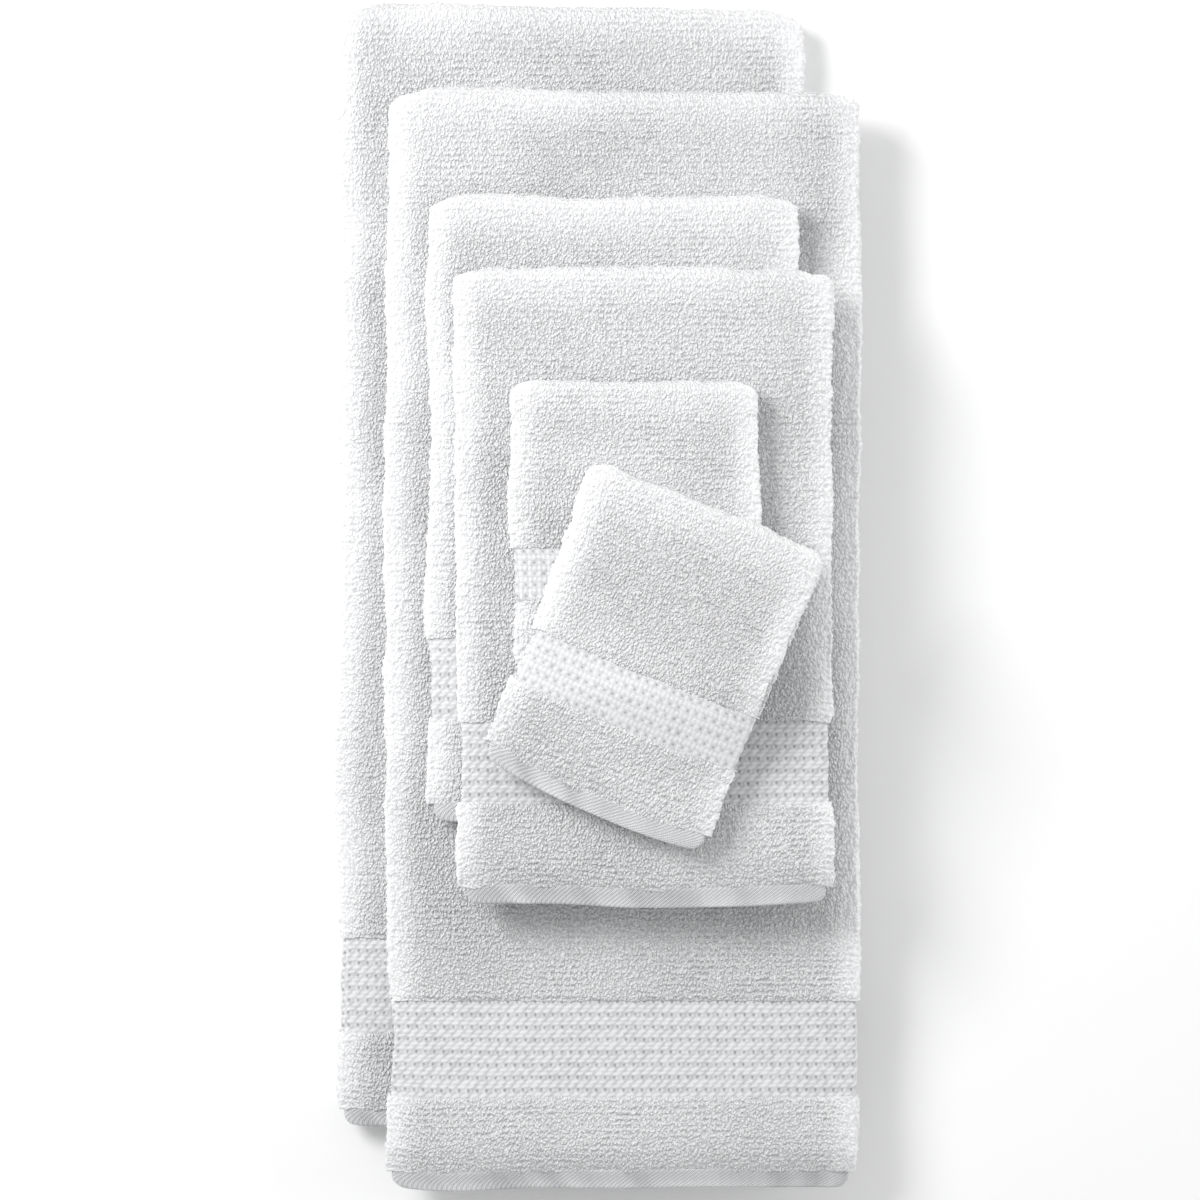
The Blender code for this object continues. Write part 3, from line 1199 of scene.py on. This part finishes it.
    def flatness(self, patch: Patch) -> Grid:
        """How flat the cloth lies, from 0 on the folds to 1 well away from them."""
        inward = np.minimum(patch.share, 1.0 - patch.share) * self.width
        side = np.where(patch.on(Run.PANEL), eased((inward + 0.003) / 0.024), 0.0)
        side = np.where(patch.on(Run.LEFT_FLAP, Run.RIGHT_FLAP), 0.8, side)
        from_fold = np.abs(patch.v - self.whole / 2)
        return side * (0.5 + 0.5 * eased((from_fold - 0.010) / 0.026))

    def crispness_and_pit_shade(self, patch: Patch) -> Grid:
        """How clearly the loops stand apart, and how deep their painted pit shade is: less near
        folds, where the pile is brushed flat and the cloth is painted lighter.
        """
        patches = 0.90 + 0.12 * wander(patch.u, patch.v, 0.042, self.seed + 71)
        return np.clip((0.45 + 0.55 * self.flatness(patch)) * patches, 0.0, 1.2)

    # ---- pieces

    def cloth(self, weave: Weave, extent: Triple) -> ClothMesh:
        """One zone of the towel as a closed cloth.

        Args:
            weave: How the zone is made.
            extent: Where it starts and ends along the cloth, and its width.

        Returns:
            The cloth, ready to be made.
        """
        columns = self.columns(weave.step)
        rows = self.rows(extent[0], extent[1], weave.step, weave.ends)
        patch = Patch(weave, columns, rows, self.levels(weave.zone, rows.v, extent[2]))
        x, height, aside, outward, thick = self.section(patch)
        u, v = patch.u, patch.v
        slip = rows.slip[:, None] * np.ones_like(x)
        loft = weave.relief.loft(u, v + slip)
        fray = wander(u, np.zeros_like(u), 0.0026, self.seed + 61) * 0.45
        fray = fray + 0.45 * wander(u, np.zeros_like(u), 0.011, self.seed + 62)
        slip = slip * (1.0 + fray)
        shows = self.exposure(patch, self.seated(patch, x, height, slip)[..., :2])
        edge = columns.edge[None, :]
        whole = np.clip(1.5 * rows.outer, 0.0, 1.0)[:, None]
        splayed = 1.0 + 1.1 * (1.0 - self.flatness(patch)) * patch.looped
        raised = weave.relief.height(u, v + slip) * shows * whole * splayed
        out = thick / 2 * rows.outer[:, None] * edge + raised
        inn = -thick / 2 * rows.inner[:, None] * edge
        outer = self.seated(patch, x + aside * out, height + outward * out, slip)
        inner = self.seated(patch, x + aside * inn, height + outward * inn, 0 * slip)
        places = np.stack([u, v + slip], axis=-1)
        shown = [
            [
                shows[r0 : r1 + 1, c0 : c1 + 1].max() > SHOWS
                for c0, c1 in zip(columns.breaks, columns.breaks[1:])
            ]
            for r0, r1 in zip(rows.breaks, rows.breaks[1:])
        ]
        loft = loft * shows + COVERED_LOFT * (1 - shows)
        loft = loft + self.white * (1.0 if patch.looped else 0.3)
        marks = {LOFT_AND_SHADE: loft, CRISP_AND_PIT_SHADE: self.crispness_and_pit_shade(patch)}
        blocks = (rows.breaks, columns.breaks, np.array(shown))
        return ClothMesh(outer, inner, places, marks, *blocks)

    def body(self, leaf: Leaf) -> str:
        """The body that a leaf's pieces ride on."""
        return f"{self.name}_front_leaf" if self.opens and leaf is Leaf.FRONT else self.name

    def make(self, node: str, leaf: Leaf, weave: Weave, extent: Triple, finish: Material) -> Piece:
        """Make one woven zone, and put it in the frame.

        Args:
            node: The CAD node that it stands for.
            leaf: The leaf that it belongs to.
            weave: How it is made.
            extent: Where it starts and ends along the cloth, and its width.
            finish: Its material.

        Returns:
            The piece.
        """
        piece = self.cloth(weave, extent).make(node + "_cloth")
        piece.data.materials.append(finish)
        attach(piece, self.body(leaf))
        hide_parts(node)
        self.pieces.append(piece)
        return piece

    def end_zones(self, leaf: Leaf, finishes: dict[Zone, Material]) -> list[Piece]:
        """Make the hem, end terry and dobby band of one leaf.

        Args:
            leaf: Which leaf.
            finishes: The material of each zone.

        Returns:
            The three pieces.
        """
        kind = self.kind
        seed = self.seed + (100 if leaf is Leaf.BACK else 0)
        terry = PileRelief(seed, lump=kind.lump)
        plans = (
            Weave(Zone.HEM, kind.band_step * 1.4, (ROLL, FLAT), HemRelief(seed + 3), "turned_hem"),
            Weave(Zone.END_TERRY, kind.step, (FLOP, LIP), terry, "terry_pile"),
            Weave(Zone.DOBBY_BAND, kind.band_step, (FLAT, FLAT), kind.nubs, "dobby_weave"),
        )
        made = []
        for weave in plans:
            zone = weave.zone
            if leaf is Leaf.BACK:
                weave = replace(weave, ends=weave.ends[::-1])
            node = f"{self.name}_{leaf.value}_{zone.value}"
            made.append(self.make(node, leaf, weave, self.span(leaf, zone), finishes[zone]))
        return made

    def pile(self, name: str, start: float, end: float, finish: Material) -> Piece:
        """Make the pile from one place along the cloth to another.

        Args:
            name: The CAD node that it stands for, without the towel's name.
            start: Where it starts.
            end: Where it ends.
            finish: Its material.

        Returns:
            The piece.
        """
        ends = (LIP if start < self.straight else CUT, LIP if end > self.straight * 1.5 else CUT)
        relief = PileRelief(self.seed, lump=self.kind.lump)
        weave = Weave(Zone.PILE, self.kind.step, ends, relief, "terry_pile")
        leaf = Leaf.FRONT if name.startswith("front") else Leaf.BACK
        return self.make(f"{self.name}_{name}", leaf, weave, (start, end, self.width), finish)

    def build(self, finishes: dict[Zone, Material]) -> None:
        """Make every piece of the towel.

        Args:
            finishes: The material of each zone.
        """
        front = self.end_zones(Leaf.FRONT, finishes)
        back = self.end_zones(Leaf.BACK, finishes)
        terry = finishes[Zone.PILE]
        ends = self.span(Leaf.FRONT, Zone.DOBBY_BAND)[1] + CLEARANCE
        tip = self.whole / 2
        if self.opens:
            lower = self.pile("back_pile", tip, self.whole - ends, terry)
            upper = self.pile("front_pile", ends, tip, terry)
            self.hinge(upper)
        else:
            pile = self.pile("pile", ends, self.whole - ends, terry)

    def hinge(self, piece: Piece) -> None:
        """Take the front leaf's pile off the body that it rides on, and keep it where it lies."""
        piece.parent = None
        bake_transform(piece)


# ---- the room


@dataclass(frozen=True)
class Lamp:
    """A large soft lamp that faces the stack."""

    name: str
    place: Triple
    size: float  # side of its square
    power: float  # in watts

    def hang(self) -> None:
        """Hang the lamp."""
        light = bpy.data.lights.new(self.name, "AREA")
        light.shape = "SQUARE"
        light.size = self.size
        light.energy = self.power
        lamp = bpy.data.objects.new(self.name, light)
        lamp.location = self.place
        lamp.rotation_euler = (-Vector(self.place)).to_track_quat("-Z", "Y").to_euler()
        bpy.context.scene.collection.objects.link(lamp)


@dataclass(frozen=True)
class Studio:
    """The floor, the soft light and the camera straight above."""

    height: float = 2.2  # of the camera over the floor
    lens: float = 106.5
    aim: Pair = (0.0015, -0.0020)  # from the middle of the stack
    floor_size: float = 16.0
    floor_steps: int = 64
    daylight: float = 0.57
    key: Lamp = Lamp("key", (-1.00, 0.74, 1.25), 0.75, 23.7)
    fill: Lamp = Lamp("fill", (2.80, 0.50, 0.78), 1.8, 36.0)

    def floor(self) -> None:
        """Lay the floor, which turns up far away so that no edge shows."""
        half, steps = self.floor_size / 2, self.floor_steps
        mesh = bpy.data.meshes.new("floor")
        spots = []
        for i in range(steps + 1):
            for j in range(steps + 1):
                x, y = half * (2 * i / steps - 1), half * (2 * j / steps - 1)
                rise = max(0.0, math.hypot(x, y) - 0.75 * half)
                spots.append((x, y, -0.0003 + 0.35 * rise * rise))
        rows = steps + 1
        faces = [
            (i * rows + j, (i + 1) * rows + j, (i + 1) * rows + j + 1, i * rows + j + 1)
            for i in range(steps)
            for j in range(steps)
        ]
        mesh.from_pydata(spots, [], faces)
        mesh.shade_smooth()
        mesh.materials.append(FloorFinish().make())
        floor = bpy.data.objects.new("floor", mesh)
        bpy.context.scene.collection.objects.link(floor)

    def sky(self) -> None:
        """Fill the room with even white light."""
        world = bpy.data.worlds.new("soft_room")
        world.use_nodes = True
        back = world.node_tree.nodes["Background"]
        back.inputs["Color"].default_value = (0.99, 0.993, 1.0, 1.0)
        back.inputs["Strength"].default_value = self.daylight
        bpy.context.scene.world = world

    def camera(self) -> None:
        """Hang the camera over the stack, looking straight down."""
        data = bpy.data.cameras.new("overhead")
        data.lens = self.lens
        data.sensor_width = 36.0
        data.clip_end = 50.0
        camera = bpy.data.objects.new("overhead", data)
        x, y, _ = ((low + high) / 2 for low, high in zip(*CAD_BOX))
        camera.location = (x + self.aim[0], y + self.aim[1], CAD_BOX[0][2] + self.height)
        bpy.context.scene.collection.objects.link(camera)
        bpy.context.scene.camera = camera

    def build(self) -> None:
        """Make the room."""
        self.floor()
        self.sky()
        self.key.hang()
        self.fill.hang()
        self.camera()
        scene = bpy.context.scene
        scene.view_settings.view_transform = "Standard"
        scene.view_settings.look = "None"


def stack() -> list[FoldedTowel]:
    """The six towels, from the bottom up."""
    plans = (
        ("lower_bath_towel", BATH, {"crest": 0.0055}),
        ("upper_bath_towel", BATH, {"sag": 0.007, "reach": 0.050}),
        ("lower_hand_towel", HAND, {"white": 0.1}),
        ("upper_hand_towel", HAND, {"sag": 0.005, "reach": 0.055}),
        ("lower_washcloth", WASH, {"white": 0.25}),
        ("upper_washcloth", WASH, {"sag": 0.016, "reach": 0.065, "white": 0.45, "bow": 0.0077}),
    )
    towels = []
    for name, kind, ways in plans:
        under = towels[-1] if towels else None
        towels.append(FoldedTowel(name, kind, 1000 * len(towels) + 1000, under, **ways))
    for number, towel in enumerate(towels):
        towel.above = towels[number + 1 :]
    return towels


def main() -> None:
    """Build the towels from the bottom up, then the room."""
    logging.basicConfig(level=logging.INFO, format="%(name)s: %(message)s")
    terry, dobby, hem = TerryFinish().make(), DobbyFinish().make(), HemFinish().make()
    finishes = {
        Zone.PILE: terry,
        Zone.END_TERRY: terry,
        Zone.DOBBY_BAND: dobby,
        Zone.HEM: hem,
    }
    for towel in stack():
        towel.build(finishes)
        for piece in towel.pieces:
            LOG.info("%s: %d faces", piece.name, len(piece.data.polygons))
    Studio().build()
    bpy.context.view_layer.update()


if __name__ == "__main__":
    main()
